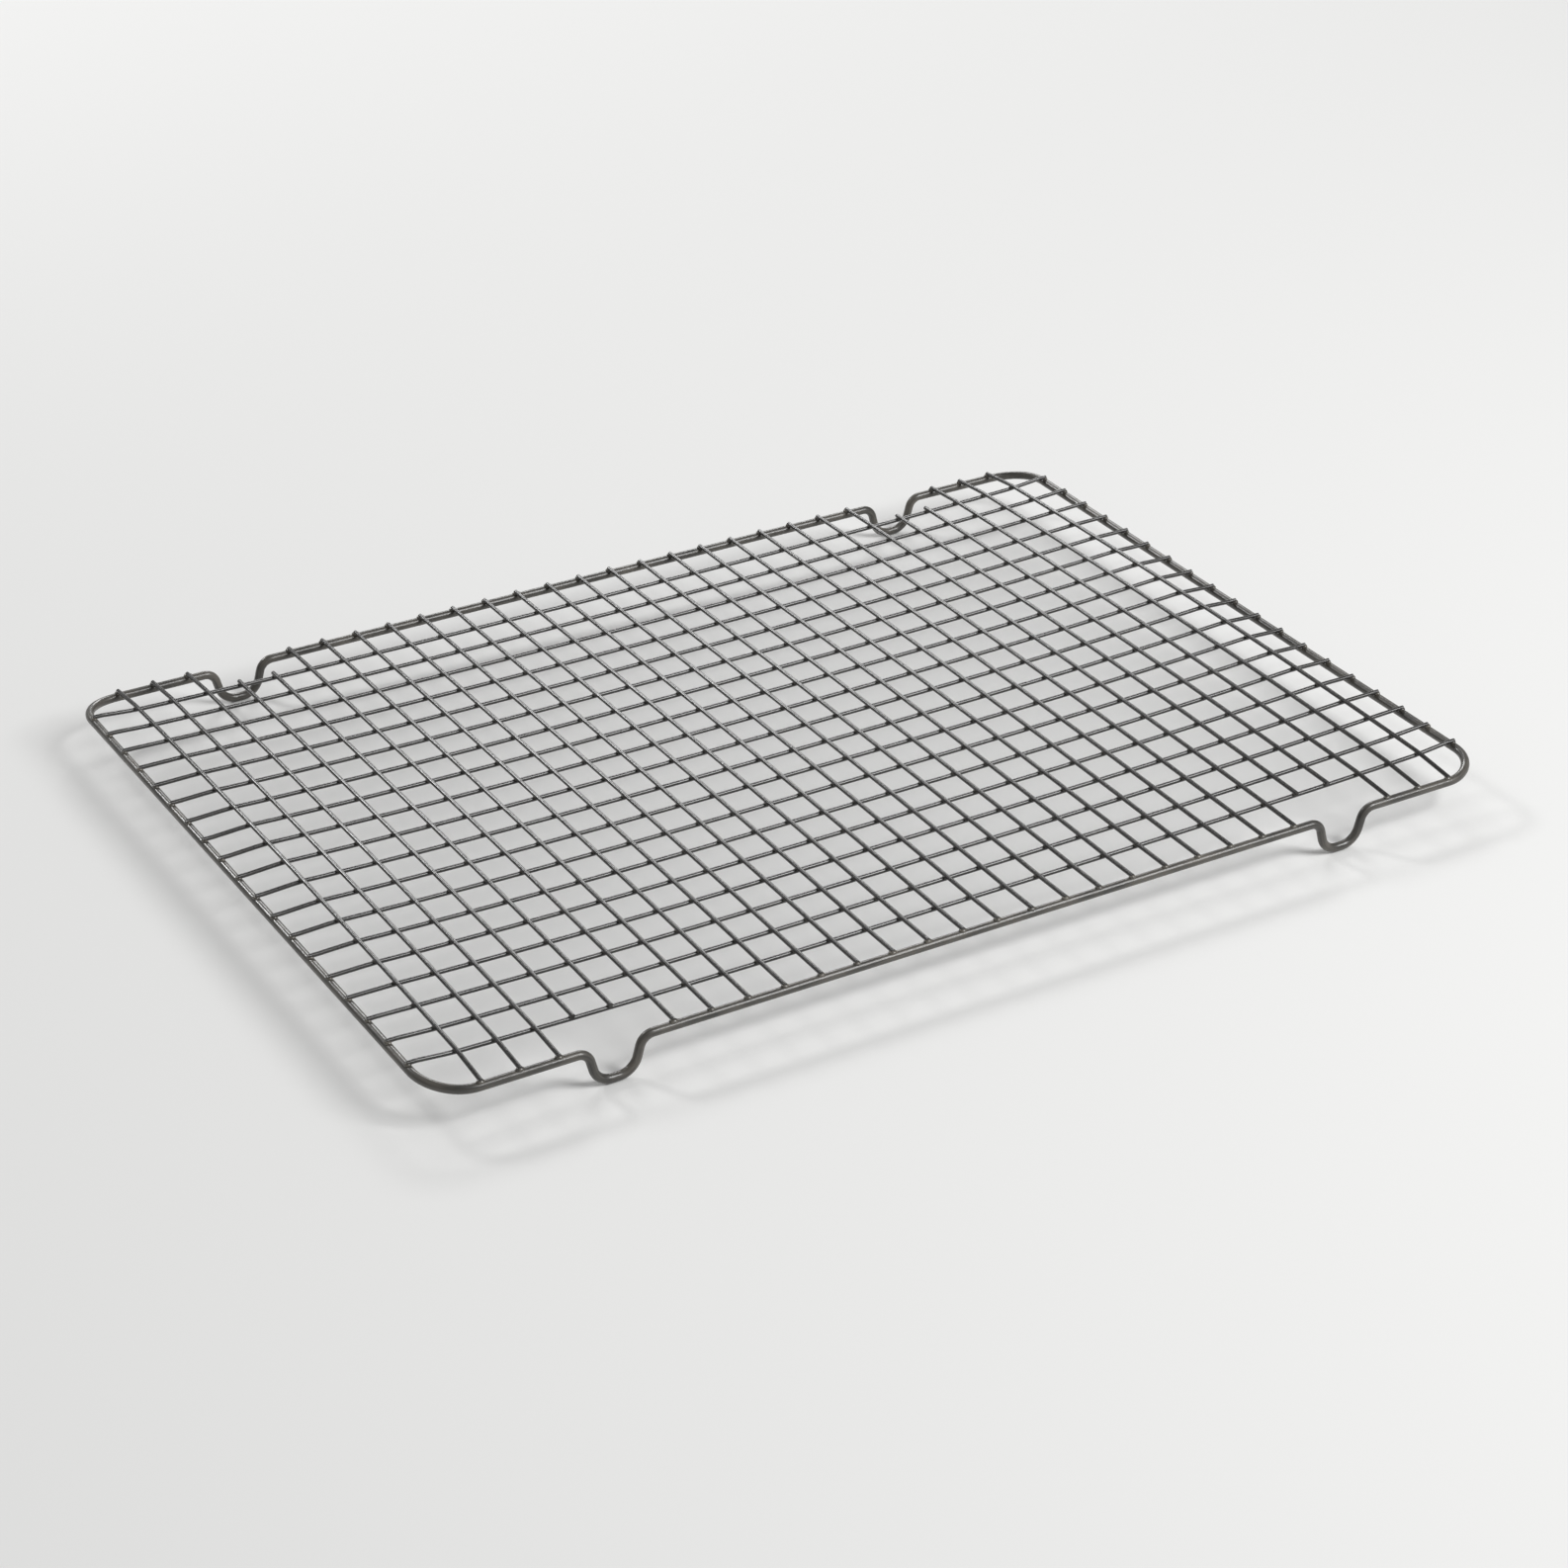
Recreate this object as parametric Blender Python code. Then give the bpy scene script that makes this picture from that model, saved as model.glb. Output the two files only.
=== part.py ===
"""Welded wire cooling rack: a bent frame wire with four feet, and a mat of grid wires welded on top of it.

Metres, +Z up. X runs along the rack and Y across it. The origin is under the middle of the rack, on the
surface that its feet stand on.
"""

import math

import bpy

# Frame wire, one closed loop. Length and width are between its centre lines.
FRAME_LENGTH = 0.418
FRAME_WIDTH = 0.298
FRAME_WIRE = 0.0032
CORNER_RADIUS = 0.016
FRAME_CLEARANCE = 0.0125  # from the surface up to the underside of the long sides
SHORT_SIDE_RISE = 0.0018  # how far the short sides stand above the long sides

# Feet: each long side dips in a U twice.
FOOT_FROM_END = 0.064  # from a short side's centre line to the middle of a foot
FOOT_FLAT = 0.0024
FOOT_BOTTOM_RADIUS = 0.007
FOOT_TOP_RADIUS = 0.005
FOOT_LEG_ANGLE = math.radians(75)

# Mat: cross wires lie on long wires.
GRID_WIRE = 0.0016
CROSS_WIRES = 29
LONG_WIRES = 19
CROSS_END_SPACE = 0.0165  # from a short side's centre line to the first cross wire
LONG_END_SPACE = 0.0176  # from a long side's centre line to the first long wire
FRAME_OVERHANG = 0.0006  # how far a wire's end runs past the frame wire's centre line
SHORT_OVERHANG = 0.0015  # how far a wire that stops at a foot runs past the outer long wire
SEAT_LENGTH = 0.003  # level end of a long wire, where it lies on the frame
CROWN_MIDDLE = 0.0011  # how far the mat rises between the long sides, at the middle cross wire
CROWN_ENDS = 0.0041  # the same at the first and last cross wire
EDGE_ENDS = 0.0020  # how far the first and last cross wire have risen where the outer long wires cross them
CROWN_POWER = 2.75

# Gap that stands for a weld, and how finely the curves are divided.
WELD_GAP = 0.0003
CORNER_STEPS = 8
FOOT_BOTTOM_STEPS = 6
FOOT_TOP_STEPS = 4
CROSS_RUNS = 6  # straight runs of a long wire between the first and last cross wire
LONG_RUNS = 4  # straight runs of a cross wire between the outer long wires
FRAME_SIDES = 12  # of a wire's section: a multiple of 4, so that a flat faces straight down
GRID_SIDES = 8

HALF_LENGTH = FRAME_LENGTH / 2
HALF_WIDTH = FRAME_WIDTH / 2
FRAME_HEIGHT = FRAME_CLEARANCE + FRAME_WIRE / 2
SEAT_HEIGHT = FRAME_HEIGHT + (FRAME_WIRE + GRID_WIRE) / 2 + WELD_GAP
LAYER_HEIGHT = GRID_WIRE + WELD_GAP
CROSS_PITCH = (FRAME_LENGTH - 2 * CROSS_END_SPACE) / (CROSS_WIRES - 1)
LONG_PITCH = (FRAME_WIDTH - 2 * LONG_END_SPACE) / (LONG_WIRES - 1)
FOOT_X = HALF_LENGTH - FOOT_FROM_END
FOOT_BENDS = FOOT_BOTTOM_RADIUS + FOOT_TOP_RADIUS
FOOT_LEG = (FRAME_CLEARANCE - FOOT_BENDS * (1 - math.cos(FOOT_LEG_ANGLE))) / math.sin(FOOT_LEG_ANGLE)
FOOT_HALF_SPAN = (
    FOOT_FLAT / 2 + FOOT_BENDS * math.sin(FOOT_LEG_ANGLE) + FOOT_LEG * math.cos(FOOT_LEG_ANGLE)
)


def clear_scene():
    for obj in list(bpy.data.objects):
        bpy.data.objects.remove(obj, do_unlink=True)


def new_collection(name):
    collection = bpy.data.collections.new(name)
    bpy.context.scene.collection.children.link(collection)
    return collection


def new_material(name, color, roughness, metallic):
    material = bpy.data.materials.new(name)
    material.use_nodes = True
    shader = material.node_tree.nodes["Principled BSDF"]
    shader.inputs["Base Color"].default_value = (*color, 1.0)
    shader.inputs["Roughness"].default_value = roughness
    shader.inputs["Metallic"].default_value = metallic
    return material


def new_wire(name, points, diameter, sides, closed, material):
    """A round wire along straight runs between points, drawn with a flat of its section facing up."""
    curve = bpy.data.curves.new(name, "CURVE")
    curve.dimensions = "3D"
    curve.twist_mode = "Z_UP"
    curve.bevel_resolution = sides // 2 - 2
    curve.bevel_depth = diameter / 2 / math.cos(math.pi / sides)
    curve.use_fill_caps = not closed
    spline = curve.splines.new("POLY")
    spline.points.add(len(points) - 1)
    for spline_point, point in zip(spline.points, points):
        spline_point.co = (*point, 1.0)
        spline_point.tilt = math.pi / sides
    spline.use_cyclic_u = closed
    spline.use_smooth = True
    curve.materials.append(material)
    return bpy.data.objects.new(name, curve)


def place(obj, location, parent, collection):
    obj.location = location
    obj.parent = parent
    collection.objects.link(obj)


# ---- frame wire ----


def foot_half():
    """(x, z) from the middle of a foot out to the long side, with z = 0 at the long side's centre line."""
    points = []
    for step in range(FOOT_BOTTOM_STEPS + 1):
        angle = FOOT_LEG_ANGLE * step / FOOT_BOTTOM_STEPS
        x = FOOT_FLAT / 2 + FOOT_BOTTOM_RADIUS * math.sin(angle)
        points.append((x, FOOT_BOTTOM_RADIUS * (1 - math.cos(angle)) - FRAME_CLEARANCE))
    for step in range(FOOT_TOP_STEPS + 1):
        angle = FOOT_LEG_ANGLE * (1 - step / FOOT_TOP_STEPS)
        x = FOOT_HALF_SPAN - FOOT_TOP_RADIUS * math.sin(angle)
        points.append((x, FOOT_TOP_RADIUS * (math.cos(angle) - 1)))
    return points


def long_side(y):
    """Points along a long side from -X to +X, through both feet."""
    half = foot_half()
    foot = [(-x, z) for x, z in reversed(half)] + half
    return [(side * FOOT_X + x, y, z) for side in (-1, 1) for x, z in foot]


def corner(side_x, side_y, start_angle, start_rise, end_rise):
    """A quarter circle, turning clockwise, that climbs or drops smoothly between a long and a short side."""
    points = []
    for step in range(CORNER_STEPS + 1):
        turned = step / CORNER_STEPS
        angle = math.radians(start_angle - 90 * turned)
        x = side_x * (HALF_LENGTH - CORNER_RADIUS) + CORNER_RADIUS * math.cos(angle)
        y = side_y * (HALF_WIDTH - CORNER_RADIUS) + CORNER_RADIUS * math.sin(angle)
        blend = turned * turned * (3 - 2 * turned)
        points.append((x, y, start_rise + (end_rise - start_rise) * blend))
    return points


def frame_points():
    """The whole loop, clockwise from above, starting on the +Y side."""
    return (
        long_side(HALF_WIDTH)
        + corner(1, 1, 90, 0, SHORT_SIDE_RISE)
        + corner(1, -1, 0, SHORT_SIDE_RISE, 0)
        + long_side(-HALF_WIDTH)[::-1]
        + corner(-1, -1, -90, 0, SHORT_SIDE_RISE)
        + corner(-1, 1, 180, SHORT_SIDE_RISE, 0)
    )


# ---- mat ----


def cross_x(index):
    return CROSS_END_SPACE - HALF_LENGTH + CROSS_PITCH * index


def long_y(index):
    return HALF_WIDTH - LONG_END_SPACE - LONG_PITCH * index


def knots(count, runs):
    """Indices of the wires where the wires that cross them may bend."""
    return [round(run * (count - 1) / runs) for run in range(runs + 1)]


def along_knots(rule, index, stops):
    """rule at index, drawn straight between the knots, so that crossing wires meet exactly everywhere."""
    low = max(stop for stop in stops[:-1] if stop <= index)
    high = min(stop for stop in stops[1:] if stop > low)
    share = (index - low) / (high - low)
    return rule(low) * (1 - share) + rule(high) * share


def end_rule(index):
    return abs(2 * index / (CROSS_WIRES - 1) - 1) ** CROWN_POWER


def arch_rule(index):
    return 1 - (long_y(index) / long_y(0)) ** 2


def mat_rise(cross_index, long_index):
    """How far a cross wire stands above its own ends where it crosses a long wire."""
    to_end = along_knots(end_rule, cross_index, knots(CROSS_WIRES, CROSS_RUNS))
    edge = EDGE_ENDS * to_end
    crown = CROWN_MIDDLE + (CROWN_ENDS - CROWN_MIDDLE) * to_end
    return edge + (crown - edge) * along_knots(arch_rule, long_index, knots(LONG_WIRES, LONG_RUNS))


def cross_points(index):
    """(0, y, rise) along a cross wire, which stops at the outer long wires where the frame dips to a foot."""
    bends = [(0, long_y(knot), mat_rise(index, knot)) for knot in knots(LONG_WIRES, LONG_RUNS)]
    if abs(abs(cross_x(index)) - FOOT_X) > FOOT_HALF_SPAN:
        end_y = HALF_WIDTH + FRAME_OVERHANG
        return [(0, end_y, 0)] + bends + [(0, -end_y, 0)]
    end_y = long_y(0) + SHORT_OVERHANG
    slope = (bends[1][2] - bends[0][2]) / (bends[0][1] - bends[1][1])
    end_rise = bends[0][2] - slope * SHORT_OVERHANG
    return [(0, end_y, end_rise)] + bends[1:-1] + [(0, -end_y, end_rise)]


def long_points(index):
    """(x, 0, rise) along a long wire, whose level ends lie on the short sides."""
    end_x = HALF_LENGTH + FRAME_OVERHANG
    seat = [(end_x, 0, SHORT_SIDE_RISE), (HALF_LENGTH - SEAT_LENGTH, 0, SHORT_SIDE_RISE)]
    bends = [
        (cross_x(knot), 0, mat_rise(knot, index) - LAYER_HEIGHT) for knot in knots(CROSS_WIRES, CROSS_RUNS)
    ]
    return [(-x, y, z) for x, y, z in seat] + bends + seat[::-1]


def build():
    clear_scene()
    parts = new_collection("cooling_rack")
    root = bpy.data.objects.new("rack_origin", None)
    parts.objects.link(root)
    frame_coat = new_material("frame_coating", (0.085, 0.078, 0.068), 0.42, 0.35)
    cross_coat = new_material("cross_wire_coating", (0.075, 0.072, 0.066), 0.38, 0.35)
    long_coat = new_material("long_wire_coating", (0.08, 0.075, 0.066), 0.4, 0.35)

    frame = new_wire("frame_wire", frame_points(), FRAME_WIRE, FRAME_SIDES, True, frame_coat)
    place(frame, (0, 0, FRAME_HEIGHT), root, parts)
    for index in range(CROSS_WIRES):
        name = f"cross_wire_{index + 1:02d}"
        wire = new_wire(name, cross_points(index), GRID_WIRE, GRID_SIDES, False, cross_coat)
        place(wire, (cross_x(index), 0, SEAT_HEIGHT), root, parts)
    for index in range(LONG_WIRES):
        name = f"long_wire_{index + 1:02d}"
        wire = new_wire(name, long_points(index), GRID_WIRE, GRID_SIDES, False, long_coat)
        place(wire, (0, long_y(index), SEAT_HEIGHT), root, parts)


build()
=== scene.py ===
import math
import random

import bpy
from mathutils import Matrix, Vector


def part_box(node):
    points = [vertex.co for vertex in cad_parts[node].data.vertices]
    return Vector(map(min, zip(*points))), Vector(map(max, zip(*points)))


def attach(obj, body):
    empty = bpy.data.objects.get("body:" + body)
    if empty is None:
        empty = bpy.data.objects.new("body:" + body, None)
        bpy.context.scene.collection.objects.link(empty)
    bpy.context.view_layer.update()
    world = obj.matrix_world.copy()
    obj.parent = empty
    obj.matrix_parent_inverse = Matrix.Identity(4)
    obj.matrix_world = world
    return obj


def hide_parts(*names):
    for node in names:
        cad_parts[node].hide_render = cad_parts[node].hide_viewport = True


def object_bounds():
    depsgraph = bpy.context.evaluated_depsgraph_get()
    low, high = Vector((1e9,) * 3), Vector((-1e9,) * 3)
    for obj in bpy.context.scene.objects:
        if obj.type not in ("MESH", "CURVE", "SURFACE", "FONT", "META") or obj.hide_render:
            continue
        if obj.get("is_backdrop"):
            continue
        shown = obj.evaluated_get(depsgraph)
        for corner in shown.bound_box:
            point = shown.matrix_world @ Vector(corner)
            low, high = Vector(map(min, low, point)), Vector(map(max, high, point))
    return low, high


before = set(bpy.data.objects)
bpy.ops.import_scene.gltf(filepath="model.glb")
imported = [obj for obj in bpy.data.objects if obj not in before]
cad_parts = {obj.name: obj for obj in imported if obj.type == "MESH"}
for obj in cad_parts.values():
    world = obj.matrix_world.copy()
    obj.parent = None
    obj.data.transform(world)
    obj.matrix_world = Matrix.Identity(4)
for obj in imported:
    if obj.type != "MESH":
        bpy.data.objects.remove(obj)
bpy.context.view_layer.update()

mm = 0.001


# small helpers shared by every material, tree and piece

def toLinear(hexColor):
    channels = [int(hexColor[k:k + 2], 16) / 255 for k in (1, 3, 5)]
    linear = [c / 12.92 if c <= 0.04045 else ((c + 0.055) / 1.055) ** 2.4 for c in channels]
    return (*linear, 1.0)


def addNode(tree, kind, settings=None, values=None):
    # a value is either a plain number, colour or object, or the output socket that feeds the input
    node = tree.nodes.new(kind)
    for name, value in (settings or {}).items():
        setattr(node, name, value)
    for name, value in (values or {}).items():
        if isinstance(value, bpy.types.NodeSocket):
            tree.links.new(value, node.inputs[name])
        else:
            node.inputs[name].default_value = value
    return node


def newTree(name, inputs):
    # a Geometry Nodes tree with a geometry input and output, and the named inputs
    tree = bpy.data.node_groups.new(name, "GeometryNodeTree")
    tree.interface.new_socket("Geometry", in_out="INPUT", socket_type="NodeSocketGeometry")
    for label, kind in inputs.items():
        tree.interface.new_socket(label, in_out="INPUT", socket_type=kind)
    tree.interface.new_socket("Geometry", in_out="OUTPUT", socket_type="NodeSocketGeometry")
    return tree


def makePiece(name, source, tree, values):
    # runs the tree on a source curve or point mesh, and keeps the result as one plain mesh object
    modifier = source.modifiers.new(tree.name, "NODES")
    modifier.node_group = tree
    for item in tree.interface.items_tree:
        if item.in_out == "INPUT" and item.name in values:
            modifier[item.identifier] = values[item.name]
    bpy.context.collection.objects.link(source)
    bpy.context.view_layer.update()
    graph = bpy.context.evaluated_depsgraph_get()
    mesh = bpy.data.meshes.new_from_object(source.evaluated_get(graph), depsgraph=graph)
    bpy.data.objects.remove(source, do_unlink=True)
    mesh.name = name
    piece = bpy.data.objects.new(name, mesh)
    bpy.context.collection.objects.link(piece)
    return piece


def smoothStep(share):
    share = min(max(share, 0.0), 1.0)
    return share * share * (3 - 2 * share)


# finishes

coating = {
    "topCoat": 0.4,             # the baked film's own gloss
    "topCoatRoughness": 0.10,
    "patchSize": 14 * mm,       # width of the cloudy patches that spraying leaves
    "speckSize": 0.8 * mm,      # grain of the coat; the real one is finer, and wouldn't show
    "streakWidth": 0.5 * mm,    # drawing marks along the wire; the real ones are finer
    "streakLength": 12 * mm,
    "tintRange": (0.38, 0.64),  # part of the noise over which the full coat turns to the thin one
    "dullRange": (0.35, 0.65),  # the same for the roughness, from its lower to its higher value
    "peelStrength": 0.8,
}


def coatedSteel(name, base, thin, roughness, peelDepth, followsWire=True):
    # graphite non-stick coat, sprayed on drawn steel wire and baked: it looks dark and satin, with a
    # tight highlight from the film, lighter where it is thin, and streaks from the drawing of the wire
    material = bpy.data.materials.new(name)
    material.use_nodes = True
    tree = material.node_tree
    shader = tree.nodes["Principled BSDF"]
    shader.inputs["Coat Weight"].default_value = coating["topCoat"]
    shader.inputs["Coat Roughness"].default_value = coating["topCoatRoughness"]
    place = addNode(tree, "ShaderNodeTexCoord").outputs["Object"]
    cloud = addNode(tree, "ShaderNodeTexNoise", None,
                    {"Vector": place, "Scale": 1 / coating["patchSize"], "Detail": 3.0, "Roughness": 0.55})
    grain = addNode(tree, "ShaderNodeTexNoise", None,
                    {"Vector": place, "Scale": 1 / coating["speckSize"], "Detail": 2.0, "Roughness": 0.5})
    marks = grain.outputs["Fac"]
    if followsWire:
        # the sweep leaves how far along the wire and where on its section each point is
        around = addNode(tree, "ShaderNodeAttribute", {"attribute_name": "spotAround"})
        along = addNode(tree, "ShaderNodeAttribute", {"attribute_name": "lengthAlong"})
        apart = addNode(tree, "ShaderNodeSeparateXYZ", None, {"Vector": around.outputs["Vector"]})
        onWire = addNode(tree, "ShaderNodeCombineXYZ", None,
                         {"X": apart.outputs["X"], "Y": apart.outputs["Y"], "Z": along.outputs["Fac"]})
        drawn = addNode(tree, "ShaderNodeMapping", None,
                        {"Vector": onWire.outputs["Vector"],
                         "Scale": (1.0, 1.0, coating["streakWidth"] / coating["streakLength"])})
        streaks = addNode(tree, "ShaderNodeTexNoise", None,
                          {"Vector": drawn.outputs["Vector"], "Scale": 1 / coating["streakWidth"],
                           "Detail": 2.0, "Roughness": 0.6})
        marks = streaks.outputs["Fac"]
    both = addNode(tree, "ShaderNodeMix", None,
                   {"Factor": 0.5, "A": grain.outputs["Fac"], "B": marks})
    worn = addNode(tree, "ShaderNodeMix", None,
                   {"Factor": 0.5, "A": cloud.outputs["Fac"], "B": marks})
    tint = addNode(tree, "ShaderNodeValToRGB", None, {"Fac": worn.outputs["Result"]})
    for stop, position, color in zip(tint.color_ramp.elements, coating["tintRange"], (base, thin)):
        stop.position = position
        stop.color = toLinear(color)
    dullFrom, dullTo = coating["dullRange"]
    dull = addNode(tree, "ShaderNodeMapRange", None,
                   {"Value": both.outputs["Result"], "From Min": dullFrom, "From Max": dullTo,
                    "To Min": roughness[0], "To Max": roughness[1]})
    peel = addNode(tree, "ShaderNodeBump", None,
                   {"Height": both.outputs["Result"], "Strength": coating["peelStrength"],
                    "Distance": peelDepth})
    tree.links.new(tint.outputs["Color"], shader.inputs["Base Color"])
    tree.links.new(dull.outputs["Result"], shader.inputs["Roughness"])
    tree.links.new(peel.outputs["Normal"], shader.inputs["Normal"])
    return material


# full coat, thin coat, roughness from smooth to dull, and depth of the grain and streaks
frameFinish = coatedSteel("coatedFrameWire", "#292825", "#59554e", (0.32, 0.54), 0.04 * mm)
gridFinish = coatedSteel("coatedGridWire", "#1c1b1a", "#312f2d", (0.20, 0.36), 0.012 * mm)
weldFinish = coatedSteel("coatedWeld", "#383632", "#6a655c", (0.20, 0.42), 0.08 * mm,
                         followsWire=False)
print("finishes made")


# Geometry Nodes: a wire swept along its path, and weld beads set on points

def sweptWireTree():
    tree = newTree("sweptWire", {"Wire Diameter": "NodeSocketFloat", "Sides": "NodeSocketInt",
                                 "Finish": "NodeSocketMaterial"})
    given = addNode(tree, "NodeGroupInput")
    half = addNode(tree, "ShaderNodeMath", {"operation": "DIVIDE"},
                   {0: given.outputs["Wire Diameter"], 1: 2.0})
    section = addNode(tree, "GeometryNodeCurvePrimitiveCircle", None,
                      {"Resolution": given.outputs["Sides"], "Radius": half.outputs[0]})
    lengthAlong = addNode(tree, "GeometryNodeSplineParameter").outputs["Length"]
    path = addNode(tree, "GeometryNodeStoreNamedAttribute", {"data_type": "FLOAT"},
                   {"Geometry": given.outputs["Geometry"], "Name": "lengthAlong", "Value": lengthAlong})
    spot = addNode(tree, "GeometryNodeInputPosition").outputs["Position"]
    ring = addNode(tree, "GeometryNodeStoreNamedAttribute", {"data_type": "FLOAT_VECTOR"},
                   {"Geometry": section.outputs["Curve"], "Name": "spotAround", "Value": spot})
    sweep = addNode(tree, "GeometryNodeCurveToMesh", None,
                    {"Curve": path.outputs["Geometry"], "Profile Curve": ring.outputs["Geometry"],
                     "Fill Caps": True})
    smooth = addNode(tree, "GeometryNodeSetShadeSmooth", None, {"Geometry": sweep.outputs["Mesh"]})
    real = addNode(tree, "GeometryNodeRealizeInstances", None, {"Geometry": smooth.outputs["Geometry"]})
    coated = addNode(tree, "GeometryNodeSetMaterial", None,
                     {"Geometry": real.outputs["Geometry"], "Material": given.outputs["Finish"]})
    addNode(tree, "NodeGroupOutput", None, {"Geometry": coated.outputs["Geometry"]})
    return tree


bead = {
    "segments": 12,
    "rings": 6,
    "leastSize": (0.88, 0.88, 0.9),    # no two beads are the same size
    "mostSize": (1.12, 1.12, 1.1),
}


def weldBeadTree():
    tree = newTree("weldBead", {"Half Sizes": "NodeSocketVector", "Seed": "NodeSocketInt",
                                "Finish": "NodeSocketMaterial"})
    given = addNode(tree, "NodeGroupInput")
    blob = addNode(tree, "GeometryNodeMeshUVSphere", None,
                   {"Segments": bead["segments"], "Rings": bead["rings"], "Radius": 1.0})
    uneven = addNode(tree, "FunctionNodeRandomValue", {"data_type": "FLOAT_VECTOR"},
                     {"Min": bead["leastSize"], "Max": bead["mostSize"], "Seed": given.outputs["Seed"]})
    size = addNode(tree, "ShaderNodeVectorMath", {"operation": "MULTIPLY"},
                   {0: uneven.outputs["Value"], 1: given.outputs["Half Sizes"]})
    beads = addNode(tree, "GeometryNodeInstanceOnPoints", None,
                    {"Points": given.outputs["Geometry"], "Instance": blob.outputs["Mesh"],
                     "Scale": size.outputs["Vector"]})
    real = addNode(tree, "GeometryNodeRealizeInstances", None, {"Geometry": beads.outputs["Instances"]})
    smooth = addNode(tree, "GeometryNodeSetShadeSmooth", None, {"Geometry": real.outputs["Geometry"]})
    coated = addNode(tree, "GeometryNodeSetMaterial", None,
                     {"Geometry": smooth.outputs["Geometry"], "Material": given.outputs["Finish"]})
    addNode(tree, "NodeGroupOutput", None, {"Geometry": coated.outputs["Geometry"]})
    return tree


wireTree = sweptWireTree()
beadTree = weldBeadTree()


def pathCurve(name, points, closed):
    # points are pairs: a place, and the share of the wire's radius there
    curve = bpy.data.curves.new(name, "CURVE")
    curve.dimensions = "3D"
    spline = curve.splines.new("POLY")
    spline.points.add(len(points) - 1)
    for splinePoint, (place, share) in zip(spline.points, points):
        splinePoint.co = (*place, 1.0)
        splinePoint.radius = share
    spline.use_cyclic_u = closed
    return bpy.data.objects.new(name, curve)


# frame wire

frameWire = {
    "diameter": 3.2 * mm,
    "sides": 24,
    "clearance": 12.5 * mm,        # from the surface up to the long sides
    "cornerRadius": 16 * mm,
    "footFromEnd": 64 * mm,        # from a short side's centre line to the middle of a foot
    "footFlat": 2.4 * mm,
    "footBottomRadius": 7 * mm,
    "footTopRadius": 5 * mm,
    "footLegAngle": math.radians(75),
    "arcStep": math.radians(5),    # turn from one point of a bend to the next
}
frameLow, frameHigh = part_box("frame_wire")
frameRadius = frameWire["diameter"] / 2
halfLength = frameHigh.x - frameRadius
halfWidth = frameHigh.y - frameRadius
longSideHeight = frameLow.z + frameWire["clearance"] + frameRadius
shortSideHeight = frameHigh.z - frameRadius


def arcAngles(start, end):
    steps = round(abs(end - start) / frameWire["arcStep"])
    return [start + (end - start) * k / steps for k in range(steps + 1)]


def footHalf():
    # (x, z) from the middle of a foot out to the long side, with z = 0 at the side's centre line
    lean = frameWire["footLegAngle"]
    low, high = frameWire["footBottomRadius"], frameWire["footTopRadius"]
    depth = frameWire["clearance"]
    leg = (depth - (low + high) * (1 - math.cos(lean))) / math.sin(lean)
    span = frameWire["footFlat"] / 2 + (low + high) * math.sin(lean) + leg * math.cos(lean)
    bottom = [(frameWire["footFlat"] / 2 + low * math.sin(a), low * (1 - math.cos(a)) - depth)
              for a in arcAngles(0, lean)]
    top = [(span - high * math.sin(a), high * (math.cos(a) - 1)) for a in arcAngles(lean, 0)]
    return bottom + top


def longSide(y):
    half = footHalf()
    foot = [(-x, z) for x, z in reversed(half)] + half
    middle = halfLength - frameWire["footFromEnd"]
    return [(side * middle + x, y, longSideHeight + z) for side in (-1, 1) for x, z in foot]


def corner(sideX, sideY, start, startHeight, endHeight):
    radius = frameWire["cornerRadius"]
    points = []
    for angle in arcAngles(start, start - math.pi / 2):
        rise = smoothStep((start - angle) / (math.pi / 2))
        points.append((sideX * (halfLength - radius) + radius * math.cos(angle),
                       sideY * (halfWidth - radius) + radius * math.sin(angle),
                       startHeight + (endHeight - startHeight) * rise))
    return points


def framePath():
    low, high = longSideHeight, shortSideHeight
    quarter = math.pi / 2
    return (longSide(halfWidth) + corner(1, 1, quarter, low, high) + corner(1, -1, 0, high, low)
            + longSide(-halfWidth)[::-1] + corner(-1, -1, -quarter, low, high)
            + corner(-1, 1, 2 * quarter, high, low))


framePiece = makePiece(
    "frameWire", pathCurve("frameWire", [(place, 1.0) for place in framePath()], True), wireTree,
    {"Wire Diameter": frameWire["diameter"], "Sides": frameWire["sides"], "Finish": frameFinish})
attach(framePiece, "root")
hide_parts("frame_wire")
print("frame wire made")


# grid wires

gridWire = {
    "diameter": 1.6 * mm,
    "sides": 16,
    "step": 5 * mm,            # spacing of the points along a wire
    "edgeRise": 2.0 * mm,      # where the outer long wires cross the first and last cross wire
    "risePower": 2.75,         # how the arch of the cross wires grows towards the ends of the rack
    "frameSink": 0.25 * mm,    # how far the weld sinks a wire into the frame wire
    "gridSink": 0.15 * mm,     # the same where two grid wires cross
    "seatLength": 3 * mm,      # level end of a long wire, on the frame wire
    "tipRound": 0.45 * mm,     # rounding of a cut and coated end
    "roundStops": (0.02, 0.12, 0.3, 0.55, 0.8, 1.0),    # points along the rounding, as shares of it
    "acrossBulge": 0.16,       # the welded ends of the cross wires are pressed wider by this share
    "alongBulge": 0.04,        # and those of the long wires hardly
    "tipLength": 3.4 * mm,     # pressed length of an end
    "tipStops": (0.25, 0.45, 0.6, 0.8, 1.0),            # points along it
    "fullyPressed": 0.45,      # share of the pressed length before it starts to narrow
    "tipUneven": 0.4 * mm,     # ends cut shorter by up to this
    "tipSeed": 4,
}
crossNames = sorted(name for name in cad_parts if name.startswith("cross_wire"))
longNames = sorted(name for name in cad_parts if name.startswith("long_wire"))
gridRadius = gridWire["diameter"] / 2
seatOnLongSide = longSideHeight + frameRadius + gridRadius - gridWire["frameSink"]
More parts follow.
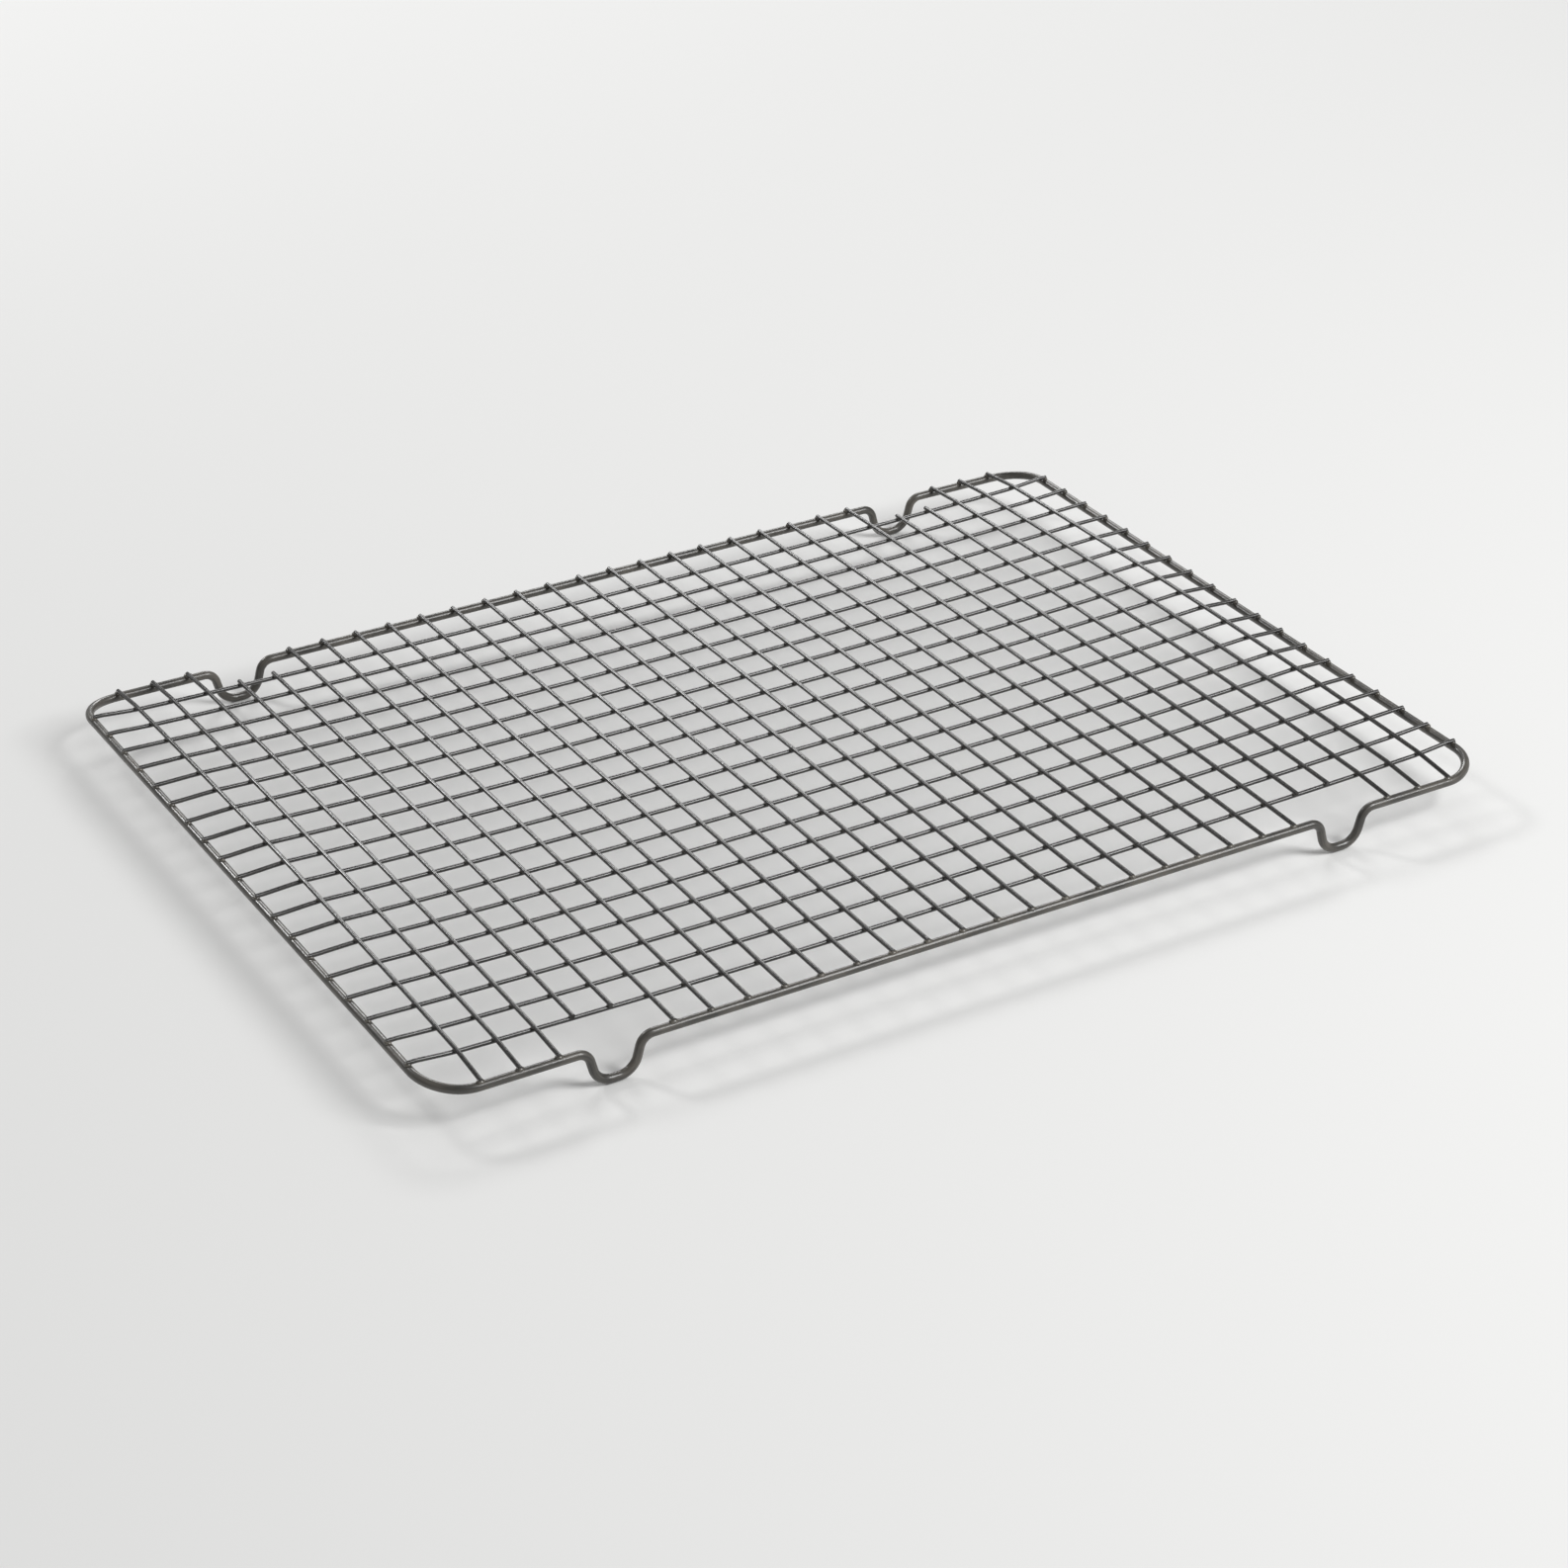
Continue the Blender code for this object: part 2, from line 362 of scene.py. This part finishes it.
seatOnShortSide = seatOnLongSide + shortSideHeight - longSideHeight
layer = gridWire["diameter"] - gridWire["gridSink"]
tips = random.Random(gridWire["tipSeed"])


def middleOf(node, axis):
    low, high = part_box(node)
    return (low[axis] + high[axis]) / 2


def riseOf(node):
    low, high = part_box(node)
    return high.z - low.z - gridWire["diameter"]


crossPlaces = [middleOf(name, 0) for name in crossNames]
longPlaces = [middleOf(name, 1) for name in longNames]
outerCross = max(crossPlaces)
outerLong = max(longPlaces)
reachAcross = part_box(crossNames[0])[1].y
crownMiddle = riseOf(crossNames[len(crossNames) // 2])
crownEnds = riseOf(crossNames[0])


def crossHeight(x, y):
    # centre line of a cross wire at x: steep from its seat to the outer long wire, then a low arch
    toEnd = abs(x / outerCross) ** gridWire["risePower"]
    edge = gridWire["edgeRise"] * toEnd
    crown = crownMiddle + (crownEnds - crownMiddle) * toEnd
    if abs(y) < outerLong:
        return seatOnLongSide + edge + (crown - edge) * (1 - (y / outerLong) ** 2)
    return seatOnLongSide + edge * (reachAcross - abs(y)) / (reachAcross - outerLong)


def longHeight(x, y):
    # centre line of a long wire at y: under the cross wires, then up or down to its seat on the short side
    held = crossHeight(min(abs(x), outerCross), y) - layer
    share = (abs(x) - outerCross) / (halfLength - gridWire["seatLength"] - outerCross)
    return held + (seatOnShortSide - held) * min(max(share, 0.0), 1.0)


def stops(low, high):
    # places along a wire from one end to the other, close together where the ends are rounded
    near = [share * gridWire["tipRound"] for share in gridWire["roundStops"]]
    near += [share * gridWire["tipLength"] for share in gridWire["tipStops"]]
    inner = high - low - 2 * near[-1]
    count = round(inner / gridWire["step"])
    middle = [low + near[-1] + inner * k / count for k in range(1, count)]
    return [low + d for d in near] + middle + [high - d for d in reversed(near)]


def tipShare(distance, bulge):
    # share of the wire's radius at a distance from its end
    rounded = min(distance / gridWire["tipRound"], 1.0)
    full = gridWire["fullyPressed"]
    narrowing = smoothStep((distance / gridWire["tipLength"] - full) / (1 - full))
    pressed = 1 + bulge * (1 - narrowing)
    return math.sqrt(1 - (1 - rounded) ** 2) * pressed


def wirePath(low, high, placeAt, bulge):
    return [(placeAt(t), tipShare(min(t - low, high - t), bulge)) for t in stops(low, high)]


def gridPiece(name, path, node):
    piece = makePiece(name, pathCurve(name, path, False), wireTree,
                      {"Wire Diameter": gridWire["diameter"], "Sides": gridWire["sides"],
                       "Finish": gridFinish})
    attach(piece, "root")
    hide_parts(node)


for number, (node, x) in enumerate(zip(crossNames, crossPlaces), 1):
    low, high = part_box(node)
    start = low.y + tips.uniform(0, gridWire["tipUneven"])
    end = high.y - tips.uniform(0, gridWire["tipUneven"])
    path = wirePath(start, end, lambda y: (x, y, crossHeight(x, y)), gridWire["acrossBulge"])
    gridPiece(f"crossWire{number:02d}", path, node)
print(len(crossNames), "cross wires made")

for number, (node, y) in enumerate(zip(longNames, longPlaces), 1):
    low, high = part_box(node)
    start = low.x + tips.uniform(0, gridWire["tipUneven"])
    end = high.x - tips.uniform(0, gridWire["tipUneven"])
    path = wirePath(start, end, lambda x: (x, y, longHeight(x, y)), gridWire["alongBulge"])
    gridPiece(f"longWire{number:02d}", path, node)
print(len(longNames), "long wires made")


# welds

welds = {
    # half sizes of a bead, and the seed of the beads' unevenness
    "crossing": ((1.02 * mm, 1.02 * mm, 0.55 * mm), 1),   # between two grid wires
    "acrossEnd": ((1.50 * mm, 1.20 * mm, 0.85 * mm), 2),  # under a cross wire's end
    "alongEnd": ((1.20 * mm, 1.50 * mm, 0.80 * mm), 3),   # under a long wire's end
}


def crossingPlaces():
    for node, x in zip(crossNames, crossPlaces):
        low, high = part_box(node)
        for y in longPlaces:
            if low.y < y < high.y:
                yield (x, y, crossHeight(x, y) - layer / 2)


def acrossEndPlaces():
    for node, x in zip(crossNames, crossPlaces):
        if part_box(node)[1].y > halfWidth:
            for side in (-1, 1):
                yield (x, side * halfWidth, longSideHeight + frameRadius)


def alongEndPlaces():
    for y in longPlaces:
        for side in (-1, 1):
            yield (side * halfLength, y, shortSideHeight + frameRadius)


def beadPiece(name, places, halfSizes, seed):
    mesh = bpy.data.meshes.new(name)
    mesh.from_pydata(list(places), [], [])
    piece = makePiece(name, bpy.data.objects.new(name, mesh), beadTree,
                      {"Half Sizes": halfSizes, "Seed": seed, "Finish": weldFinish})
    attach(piece, "root")


beadPiece("crossingWelds", crossingPlaces(), *welds["crossing"])
beadPiece("crossWireEndWelds", acrossEndPlaces(), *welds["acrossEnd"])
beadPiece("longWireEndWelds", alongEndPlaces(), *welds["alongEnd"])
print("welds made")


# floor, light and camera

studio = {
    "floor": "#e6e6e5",
    "floorHalf": 4.0,          # half the floor's side, in metres
    "floorRoughness": 0.9,
    "floorSpecular": 0.1,
    "world": "#ffffff",
    "worldStrength": 0.3,
    # direction from the rack, distance, size and power of each soft box, in metres and watts
    "boxes": {
        "keyBox": ((0.45, -0.60, 0.66), 2.2, (0.9, 1.1), 38),
        "backBox": ((0.42, 0.76, 0.50), 2.4, (0.9, 0.45), 14),
        "sideBox": ((-0.30, 0.78, 0.55), 2.0, (0.4, 0.25), 9),
    },
}


def pageFloor():
    # seamless matt paper
    mesh = bpy.data.meshes.new("paperFloor")
    half = studio["floorHalf"]
    corners = [(-half, -half, 0), (half, -half, 0), (half, half, 0), (-half, half, 0)]
    mesh.from_pydata(corners, [], [(0, 1, 2, 3)])
    floor = bpy.data.objects.new("paperFloor", mesh)
    bpy.context.collection.objects.link(floor)
    material = bpy.data.materials.new("mattPaper")
    material.use_nodes = True
    shader = material.node_tree.nodes["Principled BSDF"]
    shader.inputs["Base Color"].default_value = toLinear(studio["floor"])
    shader.inputs["Roughness"].default_value = studio["floorRoughness"]
    shader.inputs["Specular IOR Level"].default_value = studio["floorSpecular"]
    mesh.materials.append(material)
    floor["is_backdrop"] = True


def softBox(name, direction, distance, size, power):
    light = bpy.data.lights.new(name, "AREA")
    light.shape = "RECTANGLE"
    light.size, light.size_y = size
    light.energy = power
    lamp = bpy.data.objects.new(name, light)
    lamp.location = Vector(direction).normalized() * distance
    lamp.rotation_mode = "QUATERNION"
    lamp.rotation_quaternion = Vector(direction).to_track_quat("Z", "Y")
    bpy.context.collection.objects.link(lamp)


def studioWorld():
    world = bpy.data.worlds.new("studioWorld")
    world.use_nodes = True
    backdrop = world.node_tree.nodes["Background"]
    backdrop.inputs["Color"].default_value = toLinear(studio["world"])
    backdrop.inputs["Strength"].default_value = studio["worldStrength"]
    bpy.context.scene.world = world


cameraView = {
    "place": (-609.7 * mm, -1030.3 * mm, 668.1 * mm),
    "turn": math.radians(-30.85),     # from looking along +Y
    "lookDown": math.radians(29.34),
    "roll": math.radians(0.36),
    "lens": 86.1,                     # this and the sensor's width are in millimetres
    "sensor": 36,
    "clip": (0.05, 50),
}


def placeCamera():
    data = bpy.data.cameras.new("viewCamera")
    data.sensor_width = cameraView["sensor"]
    data.lens = cameraView["lens"]
    data.clip_start, data.clip_end = cameraView["clip"]
    camera = bpy.data.objects.new("viewCamera", data)
    turned = Matrix.Rotation(cameraView["turn"], 4, "Z")
    tilted = Matrix.Rotation(math.pi / 2 - cameraView["lookDown"], 4, "X")
    rolled = Matrix.Rotation(cameraView["roll"], 4, "Z")
    camera.matrix_world = Matrix.Translation(cameraView["place"]) @ turned @ tilted @ rolled
    bpy.context.collection.objects.link(camera)
    bpy.context.scene.camera = camera


pageFloor()
studioWorld()
for boxName, given in studio["boxes"].items():
    softBox(boxName, *given)
placeCamera()
bpy.context.scene.view_settings.view_transform = "Standard"
print("studio made")

low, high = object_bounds()
